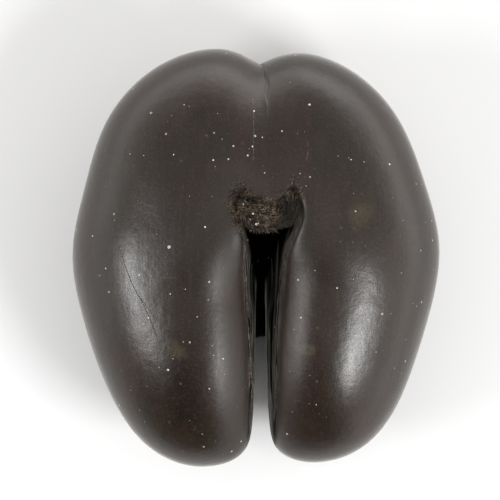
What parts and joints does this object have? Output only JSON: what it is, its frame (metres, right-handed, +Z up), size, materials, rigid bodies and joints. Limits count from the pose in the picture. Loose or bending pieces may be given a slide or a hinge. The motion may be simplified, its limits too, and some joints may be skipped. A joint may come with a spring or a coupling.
{
  "type": "coco de mer nut",
  "caption": "Large polished dark seed shell with a joined end, a deep cleft between its rounded lobes and a tuft of husk fibre in the cleft, lying on its back.",
  "frame": {"origin": "middle of the nut's box in X and Y, at the level of the small flats that it rests on", "axes": "+Y along the nut to its joined end, +Z up out of its smooth front, +X to the right as the front is seen"},
  "size_m": [0.2616, 0.2984, 0.1492],
  "materials": {
    "polished_shell": "dark brown natural shell, hand polished to a soft gloss, with small pale specks",
    "husk_fibre": "matte, coarse, curly brown plant fibre"
  },
  "bodies": {
    "root": {"shell": "polished_shell", "fibre_tuft": "husk_fibre"}
  },
  "joints": []
}
